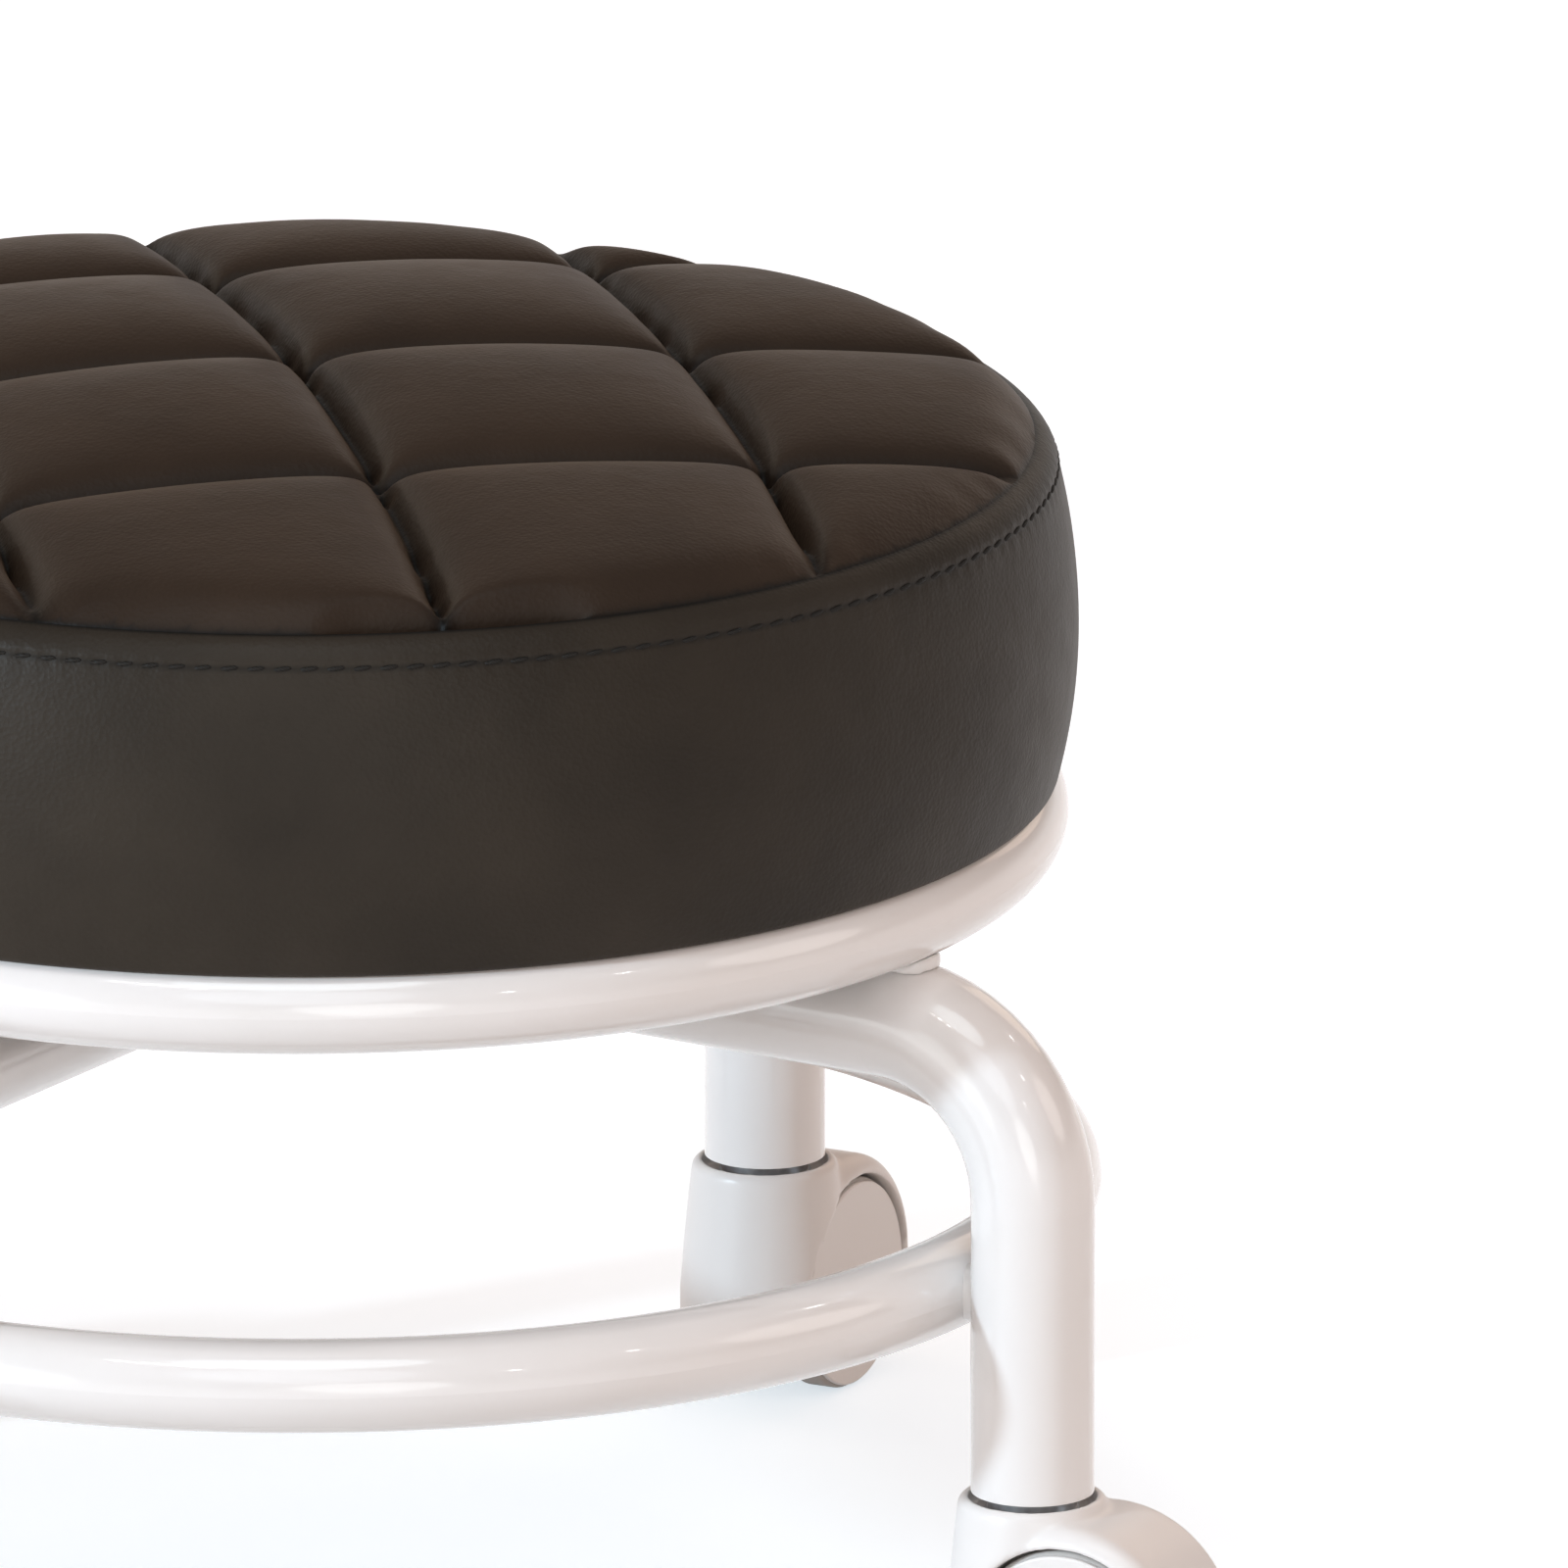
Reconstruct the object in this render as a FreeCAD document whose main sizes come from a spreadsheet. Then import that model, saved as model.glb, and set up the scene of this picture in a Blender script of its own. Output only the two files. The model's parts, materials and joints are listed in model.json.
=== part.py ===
import FreeCAD, Part
import Sketcher
import math
import os
from types import SimpleNamespace

# Low rolling stool: a quilted round cushion on a welded tube frame with four
# hooded twin-wheel casters. Millimetres, Z up, origin on the floor under the seat.

# Driving sizes.
SIZES = {
    "leg_od": 25.0,
    "leg_wall": 1.5,
    "leg_reach": 29.0,
    "leg_bend_radius": 34.0,
    "leg_rise": 94.0,
    "ring_od": 19.0,
    "ring_wall": 1.5,
    "seat_ring_inset": 7.6,
    "foot_ring_rise": 39.3,
    "weld_gap": 0.3,
    "weld_radius": 6.0,
    "weld_collar": 3.0,
    "lug_seat": 6.0,
    "lug_length": 36.0,
    "lug_width": 26.0,
    "lug_corner": 8.0,
    "lug_thickness": 3.0,
    "lug_screw_inset": 23.0,
    "screw_diameter": 6.0,
    "screw_clearance": 0.3,
    "screw_grip": 15.0,
    "screw_head_radius": 6.0,
    "screw_head_height": 3.6,
    "screw_socket_radius": 2.3,
    "tee_nut_barrel": 4.0,
    "tee_nut_length": 10.5,
    "tee_nut_flange": 9.0,
    "tee_nut_plate": 1.2,
    "board_inset": 1.4,
    "board_thickness": 12.0,
    "seat_gap": 0.2,
    "hem_thickness": 1.2,
    "hem_width": 28.2,
    "staple_inset": 6.0,
    "staple_width": 10.0,
    "staple_wire": 1.0,
    "staple_leg": 6.0,
    "seam_radius": 148.5,
    "seam_rise": 55.0,
    "seam_edge": 2.2,
    "shoulder_overhang": 4.5,
    "shoulder_drop": 4.4,
    "shoulder_round": 6.0,
    "side_round": 137.0,
    "side_foot_overhang": 5.1,
    "lip_round": 1.8,
    "cover_thickness": 1.8,
    "crown": 11.5,
    "puff": 7.5,
    "rim_round": 23.5,
    "rim_width": 16.0,
    "quilt_pitch": 80.0,
    "quilt_x": -2.0,
    "quilt_y": 10.0,
    "channel_half_width": 18.0,
    "channel_lift": 1.5,
    "wheel_radius": 22.0,
    "axle_drop": 30.0,
    "caster_offset": 14.0,
    "caster_width": 30.0,
    "web_thickness": 11.4,
    "wheel_side_gap": 0.5,
    "face_recess": 0.8,
    "disc_thickness": 1.0,
    "disc_inset": 0.7,
    "tyre_thickness": 3.0,
    "tyre_round": 1.0,
    "tyre_side_gap": 0.1,
    "hub_radius": 6.5,
    "wheel_rim_thickness": 3.0,
    "dish_depth": 4.0,
    "axle_radius": 3.0,
    "axle_end_gap": 0.3,
    "axle_groove_depth": 0.4,
    "axle_groove_width": 1.2,
    "snap_bead": 0.3,
    "running_gap": 0.05,
    "hood_gap": 0.8,
    "hood_wall": 3.2,
    "hood_round": 4.5,
    "hood_lift": 0.8,
    "hood_skirt": 10.0,
    "tower_overhang": 2.7,
    "tower_flare": 2.5,
    "tower_foot_rise": 2.0,
    "tower_round": 2.0,
    "rim_gap": 0.9,
    "recess_lip": 2.3,
    "recess_depth": 3.3,
    "pintle_radius": 3.5,
    "pintle_drop": 24.0,
    "collar_radius": 9.0,
    "washer_overhang": 0.5,
    "washer_thickness": 0.8,
    "clip_drop": 20.3,
    "clip_thickness": 0.8,
    "clip_play": 0.1,
    "clip_overhang": 0.8,
    "clip_groove_depth": 0.75,
    "shank_radius": 4.0,
    "shank_length": 14.0,
    "insert_length": 18.0,
}
LIP_ANGLE = 55
CLIP_SWEEP = 300
GROOVE_SETBACK = 0.7
CHANNEL_SWEEP = 40
STAPLES = 20
LUGS = 4
CASTER_TURN = 6
CORNERS = ("front_right", "back_right", "back_left", "front_left")


class Size:
    """A length that carries both its number and the sheet formula behind it."""

    def __init__(self, number, formula):
        self.number = float(number)
        self.formula = formula

    def joined(self, sign, other, number):
        return Size(number, f"({self.formula} {sign} {as_size(other).formula})")

    def __add__(self, other):
        return self.joined("+", other, self.number + as_size(other).number)

    def __sub__(self, other):
        return self.joined("-", other, self.number - as_size(other).number)

    def __mul__(self, other):
        return self.joined("*", other, self.number * as_size(other).number)

    def __truediv__(self, other):
        return self.joined("/", other, self.number / as_size(other).number)

    def __neg__(self):
        return Size(-self.number, f"(-1 * {self.formula})")


def as_size(value):
    return value if isinstance(value, Size) else Size(value, f"{float(value):.9f}")


def cosine(degrees):
    return math.cos(math.radians(degrees))


def sine(degrees):
    return math.sin(math.radians(degrees))


doc = FreeCAD.newDocument("RollingStool")
sheet = doc.addObject("Spreadsheet::Sheet", "Sizes")
for row, (alias, number) in enumerate(SIZES.items(), start=1):
    sheet.set(f"A{row}", alias)
    sheet.set(f"B{row}", str(number))
    sheet.setAlias(f"B{row}", alias)
doc.recompute()
dim = SimpleNamespace(**{alias: Size(number, f"Sizes.{alias}") for alias, number in SIZES.items()})

corner_step = 360 / len(CORNERS)
corner_angles = {corner: corner_step * (number - 0.5) for number, corner in enumerate(CORNERS)}

ZERO = as_size(0)
leg_radius = dim.leg_od / 2
tube_radius = dim.ring_od / 2
shoulder_radius = dim.seam_radius + dim.shoulder_overhang
side_foot_radius = dim.seam_radius + dim.side_foot_overhang
board_radius = side_foot_radius - dim.board_inset
hem_inner_radius = board_radius - dim.hem_width
staple_radius = hem_inner_radius + dim.staple_inset
seat_ring_radius = side_foot_radius - dim.seat_ring_inset
lug_outer_radius = seat_ring_radius - dim.lug_seat
lug_inner_radius = lug_outer_radius - dim.lug_length
screw_circle_radius = lug_outer_radius - dim.lug_screw_inset
leg_circle_radius = seat_ring_radius + dim.leg_reach
leg_end = dim.wheel_radius + dim.axle_drop
cross_height = leg_end + dim.leg_rise
foot_ring_radius = leg_circle_radius - leg_radius - dim.weld_gap - tube_radius
foot_ring_height = leg_end + dim.foot_ring_rise
seat_ring_height = cross_height + leg_radius + dim.weld_gap + tube_radius
ring_top = seat_ring_height + tube_radius
hem_bottom = ring_top + dim.seat_gap
board_bottom = hem_bottom + dim.hem_thickness
board_top = board_bottom + dim.board_thickness
seam_height = board_top + dim.seam_rise
dome_radius = (dim.seam_radius * dim.seam_radius + dim.crown * dim.crown) / (dim.crown * 2)
foam_edge = seam_height - dim.seam_edge
foam_top = foam_edge + dim.crown
seat_top = seam_height + dim.crown + dim.puff

parts = []


def new_body(name, turn=0, base=(ZERO, ZERO, ZERO), lean=None):
    """A body turned about Z, then moved to base; lean turns it about its own axis first."""
    body = doc.addObject("PartDesign::Body", name)
    body.Label = name
    spin = FreeCAD.Rotation(FreeCAD.Vector(0, 0, 1), turn)
    if lean:
        spin = spin.multiply(FreeCAD.Rotation(FreeCAD.Vector(*lean[0]), lean[1]))
    place = FreeCAD.Vector(*[size.number for size in base])
    body.Placement = FreeCAD.Placement(place, spin)
    for axis, size in zip("xyz", base):
        if size is not ZERO:
            body.setExpression(f"Placement.Base.{axis}", size.formula)
    return body


def finish_part(body):
    parts.append(body)
    return body


def new_sketch(body, plane, lift=ZERO):
    """A sketch on one of the body's own planes, lifted off it along the plane's normal."""
    sketch = body.newObject("Sketcher::SketchObject", f"{body.Name}_sketch")
    support = [feature for feature in body.Origin.OriginFeatures if feature.Role == plane][0]
    sketch.AttachmentSupport = [(support, "")]
    sketch.MapMode = "FlatFace"
    if lift is not ZERO:
        sketch.setExpression("AttachmentOffset.Base.z", lift.formula)
    return sketch


def hold(sketch, held):
    """Adds constraints, each given with the size that drives it or None."""
    numbers = sketch.addConstraint([constraint for constraint, size in held])
    for number, (constraint, size) in zip(numbers, held):
        if size is not None:
            sketch.setExpression(f"Constraints[{number}]", size.formula)


def point_holds(geometry, end, x, y):
    held = []
    for kind, axis, size in (("DistanceX", -2, x), ("DistanceY", -1, y)):
        if size is ZERO:
            held.append((Sketcher.Constraint("PointOnObject", geometry, end, axis), None))
        else:
            held.append((Sketcher.Constraint(kind, -1, 1, geometry, end, size.number), size))
    return held


def draw_circle(sketch, x, y, radius):
    circle = Part.Circle(
        FreeCAD.Vector(x.number, y.number, 0), FreeCAD.Vector(0, 0, 1), radius.number
    )
    geometry = sketch.addGeometry(circle)
    held = point_holds(geometry, 3, x, y)
    held.append((Sketcher.Constraint("Radius", geometry, radius.number), radius))
    hold(sketch, held)


def arc_between(start, end, radius, turn):
    """Under half a circle from start to end, turning "left" or "right" on the way."""
    chord = end - start
    side = 1 if turn == "left" else -1
    rise = math.sqrt(max(radius * radius - chord.Length * chord.Length / 4, 0))
    normal = FreeCAD.Vector(-chord.y, chord.x, 0).normalize()
    centre = (start + end) * 0.5 + normal * (side * rise)
    first, last = (start, end) if turn == "left" else (end, start)
    angles = [math.atan2(point.y - centre.y, point.x - centre.x) for point in (first, last)]
    circle = Part.Circle(centre, FreeCAD.Vector(0, 0, 1), radius)
    return Part.ArcOfCircle(circle, angles[0], angles[1])


def draw_line(sketch, corners, closed=True):
    """Lines through the corners; a corner (x, y, radius, turn) is reached by an arc."""
    count = len(corners)
    spans = [(corners[i], corners[(i + 1) % count]) for i in range(count if closed else count - 1)]
    shapes = []
    ends = []
    for start, end in spans:
        here = FreeCAD.Vector(start[0].number, start[1].number, 0)
        there = FreeCAD.Vector(end[0].number, end[1].number, 0)
        if len(end) == 4:
            shapes.append(arc_between(here, there, end[2].number, end[3]))
            ends.append((1, 2) if end[3] == "left" else (2, 1))
        else:
            shapes.append(Part.LineSegment(here, there))
            ends.append((1, 2))
    numbers = sketch.addGeometry(shapes)
    held = []
    for i, (start, end) in enumerate(spans):
        held += point_holds(numbers[i], ends[i][0], start[0], start[1])
        if closed or i + 1 < len(spans):
            after = (i + 1) % len(spans)
            join = (numbers[i], ends[i][1], numbers[after], ends[after][0])
            held.append((Sketcher.Constraint("Coincident", *join), None))
        else:
            held += point_holds(numbers[i], ends[i][1], end[0], end[1])
        if len(end) == 4:
            held.append((Sketcher.Constraint("Radius", numbers[i], end[2].number), end[2]))
    hold(sketch, held)


def draw_axis(sketch, start, end):
    """A construction line for a revolved feature to turn about."""
    points = [FreeCAD.Vector(x.number, y.number, 0) for x, y in (start, end)]
    line = sketch.addGeometry(Part.LineSegment(*points), True)
    hold(sketch, point_holds(line, 1, *start) + point_holds(line, 2, *end))


def add(body, kind, profile, **settings):
    """A PartDesign feature on a profile; settings that are sizes are bound to the sheet."""
    feature = body.newObject(f"PartDesign::{kind}", f"{body.Name}_{kind.lower()}")
    feature.Profile = profile
    for name, value in settings.items():
        if isinstance(value, Size):
            setattr(feature, name, value.number)
            feature.setExpression(name, value.formula)
        else:
            setattr(feature, name, value)
    profile.Visibility = False
    return feature


def turned(body, kind, corners, angle=360):
    """A solid or a cut turned about the body's Z axis from an outline in radius and height."""
    sketch = new_sketch(body, "XZ_Plane")
    draw_line(sketch, corners)
    return add(body, kind, sketch, ReferenceAxis=(sketch, ["V_Axis"]), Angle=angle)


def ring_solid(body, kind, ring_radius, height, circles):
    sketch = new_sketch(body, "XZ_Plane")
    for radius in circles:
        draw_circle(sketch, ring_radius, height, radius)
    return add(body, kind, sketch, ReferenceAxis=(sketch, ["V_Axis"]), Angle=360)


def round_cut(body, plane, x, y, radius):
    """A round hole right through the body along the normal of a plane."""
    sketch = new_sketch(body, plane)
    draw_circle(sketch, x, y, radius)
    return add(body, "Pocket", sketch, Type="ThroughAll", Midplane=True)


def disc(body, x, y, lift, length, circles):
    """A round plate or a sleeve standing on a height."""
    sketch = new_sketch(body, "XY_Plane", lift)
    for radius in circles:
        draw_circle(sketch, x, y, radius)
    return add(body, "Pad", sketch, Length=length)


def repeated(body, count):
    """Repeats the whole body round the seat's axis."""
    doc.recompute()
    pattern = body.newObject("PartDesign::PolarPattern", f"{body.Name}_pattern")
    pattern.TransformMode = "Whole shape"
    axis = [feature for feature in body.Origin.OriginFeatures if feature.Role == "Z_Axis"][0]
    pattern.Axis = (axis, [""])
    pattern.Angle = 360
    pattern.Occurrences = count
    body.Tip = pattern
    return pattern


def bent_tube(body, start_x, path):
    """A leg tube swept along a path that starts at the leg's lower end."""
    profile = new_sketch(body, "XY_Plane", leg_end)
    draw_circle(profile, start_x, ZERO, leg_radius)
    draw_circle(profile, start_x, ZERO, leg_radius - dim.leg_wall)
    spine = new_sketch(body, "XZ_Plane")
    draw_line(spine, path, closed=False)
    spine.Visibility = False
    return add(body, "AdditivePipe", profile, Spine=spine)


# Frame tubes: one tube bent into both legs of a diagonal, and two half tubes coped onto it.
bend_start = cross_height - dim.leg_bend_radius
bend_end = leg_circle_radius - dim.leg_bend_radius
right_bend = (leg_circle_radius, bend_start)

main_legs = new_body("main_leg_tube", turn=corner_angles["front_right"])
bent_tube(main_legs, -leg_circle_radius, [
    (-leg_circle_radius, leg_end),
    (-leg_circle_radius, bend_start),
    (-bend_end, cross_height, dim.leg_bend_radius, "right"),
    (bend_end, cross_height),
    (*right_bend, dim.leg_bend_radius, "right"),
    (leg_circle_radius, leg_end),
])
finish_part(main_legs)

for corner in ("back_right", "front_left"):
    side_leg = new_body(f"{corner}_leg_tube", turn=corner_angles[corner])
    bent_tube(side_leg, leg_circle_radius, [
        (leg_circle_radius, leg_end),
        right_bend,
        (bend_end, cross_height, dim.leg_bend_radius, "left"),
        (ZERO, cross_height),
    ])
    round_cut(side_leg, "XZ_Plane", ZERO, cross_height, leg_radius + dim.weld_gap)
    finish_part(side_leg)


def leg_cut(body):
    """Cuts a body back to the outside of a leg tube that runs and bends along its X axis."""
    straight = new_sketch(body, "YZ_Plane", bend_end)
    draw_circle(straight, ZERO, cross_height, leg_radius)
    add(body, "Pocket", straight, Type="ThroughAll")
    bend = new_sketch(body, "YZ_Plane", bend_end)
    draw_circle(bend, ZERO, cross_height, leg_radius)
    draw_axis(bend, (-leg_radius, bend_start), (leg_radius, bend_start))
    add(body, "Groove", bend, ReferenceAxis=(bend, ["Axis0"]), Angle=360)


# The ring under the seat lies on the tubes, the foot ring inside the four legs.
seat_ring = new_body("seat_ring")
ring_walls = (tube_radius, tube_radius - dim.ring_wall)
ring_solid(seat_ring, "Revolution", seat_ring_radius, seat_ring_height, ring_walls)
finish_part(seat_ring)

foot_ring = new_body("foot_ring")
ring_solid(foot_ring, "Revolution", foot_ring_radius, foot_ring_height, ring_walls)
finish_part(foot_ring)

# Weld beads fill the small gaps between the tubes.
foot_welds = new_body("foot_ring_welds", turn=corner_angles["back_right"])
bead = new_sketch(foot_welds, "YZ_Plane", foot_ring_radius)
draw_circle(bead, ZERO, foot_ring_height, dim.weld_radius)
add(foot_welds, "Pad", bead, Length=leg_circle_radius - foot_ring_radius)
ring_solid(foot_welds, "Groove", foot_ring_radius, foot_ring_height, (tube_radius,))
round_cut(foot_welds, "XY_Plane", leg_circle_radius, ZERO, leg_radius)
repeated(foot_welds, len(CORNERS))
finish_part(foot_welds)

seat_welds = new_body("seat_ring_welds", turn=corner_angles["back_right"])
weld_rise = seat_ring_height - cross_height
disc(seat_welds, seat_ring_radius, ZERO, cross_height, weld_rise, (dim.weld_radius,))
ring_solid(seat_welds, "Groove", seat_ring_radius, seat_ring_height, (tube_radius,))
leg_cut(seat_welds)
repeated(seat_welds, len(CORNERS))
finish_part(seat_welds)

for corner in ("back_right", "front_left"):
    collar = new_body(
        f"{corner}_cross_weld", corner_angles[corner], (ZERO, ZERO, cross_height), ((0, 1, 0), 90)
    )
    collar_end = leg_radius + dim.weld_collar
    turned(collar, "Revolution", [
        (leg_radius, dim.weld_gap),
        (leg_radius + dim.weld_collar, dim.weld_gap),
        (leg_radius, collar_end),
    ])
    round_cut(collar, "XZ_Plane", ZERO, ZERO, leg_radius)
    finish_part(collar)

# Four lugs inside the seat ring take the seat screws.
lugs = new_body("seat_lugs")
lug_plate = new_sketch(lugs, "XY_Plane", ring_top - dim.lug_thickness)
half_lug = dim.lug_width / 2
lug_corner_x = lug_inner_radius + dim.lug_corner
draw_line(lug_plate, [
    (lug_outer_radius, -half_lug),
    (lug_outer_radius, half_lug),
    (lug_corner_x, half_lug),
    (lug_inner_radius, half_lug - dim.lug_corner, dim.lug_corner, "left"),
    (lug_inner_radius, dim.lug_corner - half_lug),
    (lug_corner_x, -half_lug, dim.lug_corner, "left"),
])
add(lugs, "Pad", lug_plate, Length=dim.lug_thickness)
screw_radius = dim.screw_diameter / 2
round_cut(lugs, "XY_Plane", screw_circle_radius, ZERO, screw_radius + dim.screw_clearance)
ring_solid(lugs, "Groove", seat_ring_radius, seat_ring_height, (tube_radius,))
repeated(lugs, LUGS)
finish_part(lugs)

screws = new_body("seat_screws")
screw_seat = ring_top - dim.lug_thickness
head_bottom = screw_seat - dim.screw_head_height
disc(
    screws, screw_circle_radius, ZERO, head_bottom, dim.screw_head_height,
    (dim.screw_head_radius,),
)
disc(screws, screw_circle_radius, ZERO, screw_seat, dim.screw_grip, (screw_radius,))
socket = new_sketch(screws, "XY_Plane", head_bottom)
draw_line(socket, [
    (
        screw_circle_radius + dim.screw_socket_radius * cosine(angle),
        dim.screw_socket_radius * sine(angle),
    )
    for angle in range(30, 390, 60)
])
add(screws, "Pocket", socket, Length=dim.screw_head_height / 2, Reversed=True)
repeated(screws, LUGS)
finish_part(screws)

# The seat board, with tee nuts for the screws, a lining below and staples round the hem.
board = new_body("seat_board")
plate = new_sketch(board, "XY_Plane", board_bottom)
draw_circle(plate, ZERO, ZERO, board_radius)
screw_centres = [
    (screw_circle_radius, ZERO),
    (ZERO, screw_circle_radius),
    (-screw_circle_radius, ZERO),
    (ZERO, -screw_circle_radius),
]
for x, y in screw_centres:
    draw_circle(plate, x, y, dim.tee_nut_barrel)
add(board, "Pad", plate, Length=dim.board_thickness)
finish_part(board)

tee_nuts = new_body("tee_nuts")
barrel = (dim.tee_nut_barrel, screw_radius + dim.running_gap)
barrel_bottom = board_top - dim.tee_nut_length
disc(tee_nuts, screw_circle_radius, ZERO, barrel_bottom, dim.tee_nut_length, barrel)
flange = (dim.tee_nut_flange, screw_radius + dim.running_gap)
disc(tee_nuts, screw_circle_radius, ZERO, board_top, dim.tee_nut_plate, flange)
repeated(tee_nuts, LUGS)
finish_part(tee_nuts)

lining = new_body("base_lining")
cloth = new_sketch(lining, "XY_Plane", hem_bottom)
draw_circle(cloth, ZERO, ZERO, hem_inner_radius)
for x, y in screw_centres:
    draw_circle(cloth, x, y, dim.tee_nut_barrel)
add(lining, "Pad", cloth, Length=dim.hem_thickness)
finish_part(lining)

staples = new_body("cover_staples", turn=180 / STAPLES)
half_staple = dim.staple_width / 2
half_wire = dim.staple_wire / 2
staple_bars = [
    (hem_bottom - dim.staple_wire, dim.staple_wire, -half_staple, half_staple),
    (hem_bottom, dim.staple_leg, -half_staple, dim.staple_wire - half_staple),
    (hem_bottom, dim.staple_leg, half_staple - dim.staple_wire, half_staple),
]
for lift, length, low, high in staple_bars:
    bar = new_sketch(staples, "XY_Plane", lift)
    draw_line(bar, [
        (staple_radius - half_wire, low),
        (staple_radius + half_wire, low),
        (staple_radius + half_wire, high),
        (staple_radius - half_wire, high),
    ])
    add(staples, "Pad", bar, Length=length)
repeated(staples, STAPLES)
finish_part(staples)

# Upholstery: foam, a side band turned under the board, and the quilted top panel.
foam_shoulder = (shoulder_radius - dim.cover_thickness, foam_edge - dim.shoulder_drop / 2)
side_inner_round = dim.side_round - dim.cover_thickness

foam = new_body("seat_foam")
turned(foam, "Revolution", [
    (ZERO, board_top),
    (board_radius, board_top),
    (*foam_shoulder, side_inner_round, "left"),
    (dim.seam_radius, foam_edge),
    (ZERO, foam_top, dome_radius, "left"),
])
relief = new_sketch(foam, "XY_Plane", board_top)
for x, y in screw_centres:
    draw_circle(relief, x, y, dim.tee_nut_flange + dim.screw_clearance)
add(foam, "Pocket", relief, Length=dim.tee_nut_plate + dim.screw_clearance, Reversed=True)
finish_part(foam)

lip_radius = tube_radius + dim.seat_gap
side_foot = hem_bottom - dim.seat_gap * 2
band = new_body("cover_band")
turned(band, "Revolution", [
    (dim.seam_radius, seam_height),
    (shoulder_radius, seam_height - dim.shoulder_drop, dim.shoulder_round, "right"),
    (side_foot_radius, side_foot, dim.side_round, "right"),
    (
        seat_ring_radius + lip_radius * cosine(LIP_ANGLE),
        seat_ring_height + lip_radius * sine(LIP_ANGLE),
        dim.lip_round,
        "right",
    ),
    (seat_ring_radius, hem_bottom, lip_radius, "left"),
    (hem_inner_radius, hem_bottom),
    (hem_inner_radius, board_bottom),
    (board_radius, board_bottom),
    (board_radius, board_top),
    (*foam_shoulder, side_inner_round, "left"),
    (dim.seam_radius, foam_edge),
])
finish_part(band)

rim_start = dim.seam_radius - dim.rim_width
rim_height = seat_top - rim_start * rim_start / (dome_radius * 2)
panel = new_body("quilted_panel")
turned(panel, "Revolution", [
    (ZERO, foam_top),
    (dim.seam_radius, foam_edge, dome_radius, "right"),
    (dim.seam_radius, seam_height),
    (rim_start, rim_height, dim.rim_round, "left"),
    (ZERO, seat_top, dome_radius, "left"),
])
channel_depth = dim.puff + dim.channel_lift
channel_round = (
    dim.channel_half_width * dim.channel_half_width + channel_depth * channel_depth
) / (channel_depth * 2)
dome_centre = seat_top - dome_radius
for plane, offset in (("XZ_Plane", dim.quilt_x), ("YZ_Plane", dim.quilt_y)):
    for step in (-1, 0, 1):
        line = offset + dim.quilt_pitch * step
        surface = seat_top - line * line / (dome_radius * 2)
        edge = surface + dim.channel_lift
        above = edge + channel_depth
        channel = new_sketch(panel, plane)
        draw_axis(channel, (-dim.seam_radius, dome_centre), (dim.seam_radius, dome_centre))
        draw_line(channel, [
            (line - dim.channel_half_width, edge),
            (line, surface - dim.puff, channel_round, "right"),
            (line + dim.channel_half_width, edge, channel_round, "right"),
            (line + dim.channel_half_width, above),
            (line - dim.channel_half_width, above),
        ])
        axis = (channel, ["Axis0"])
        add(panel, "Groove", channel, ReferenceAxis=axis, Angle=CHANNEL_SWEEP, Midplane=True)
finish_part(panel)

# Casters. Each stands under a leg and trails outwards, turned a little; its wheels turn on
# a fixed axle.
rim_top = leg_end - dim.rim_gap
recess_floor = rim_top - dim.recess_depth
collar_bottom = recess_floor + dim.washer_thickness
pintle_end = leg_end - dim.pintle_drop
clip_bottom = leg_end - dim.clip_drop
clip_top = clip_bottom + dim.clip_thickness
clip_groove = (clip_bottom - dim.clip_play, clip_top + dim.clip_play)
bore_radius = dim.pintle_radius + dim.running_gap
bore_groove = (clip_bottom - dim.clip_play * 3, clip_top + dim.clip_play * 3)
hood_inner = dim.wheel_radius + dim.hood_gap
hood_outer = hood_inner + dim.hood_wall
hood_floor = dim.wheel_radius - dim.hood_skirt
tower_top_radius = leg_radius + dim.tower_overhang
tower_foot_radius = tower_top_radius + dim.tower_flare
tower_foot_height = dim.wheel_radius + dim.tower_foot_rise
recess_radius = tower_top_radius - dim.recess_lip
washer_radius = dim.collar_radius + dim.washer_overhang
clip_inner_radius = dim.pintle_radius - dim.clip_groove_depth
clip_outer_radius = dim.pintle_radius + dim.clip_overhang
disc_radius = dim.wheel_radius - dim.disc_inset
tyre_inner_radius = dim.wheel_radius - dim.tyre_thickness
dish_radius = tyre_inner_radius - dim.wheel_rim_thickness
half_width = dim.caster_width / 2
inner_face = dim.web_thickness / 2 + dim.wheel_side_gap
outer_face = half_width - dim.face_recess
disc_back = outer_face - dim.disc_thickness
wheel_bore = dim.axle_radius + dim.running_gap
groove_floor = dim.axle_radius - dim.axle_groove_depth
axle_half_length = disc_back - dim.axle_end_gap
groove_end = axle_half_length - dim.axle_groove_width * GROOVE_SETBACK
groove_start = groove_end - dim.axle_groove_width
bead_middle = (groove_start + groove_end) / 2


def add_insert(name, turn, base):
    insert = new_body(f"{name}_leg_insert", turn, base)
    turned(insert, "Revolution", [
        (dim.shank_radius, leg_end),
        (leg_radius - dim.leg_wall, leg_end),
        (leg_radius - dim.leg_wall, leg_end + dim.insert_length),
        (dim.shank_radius, leg_end + dim.insert_length),
    ])
    finish_part(insert)


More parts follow.
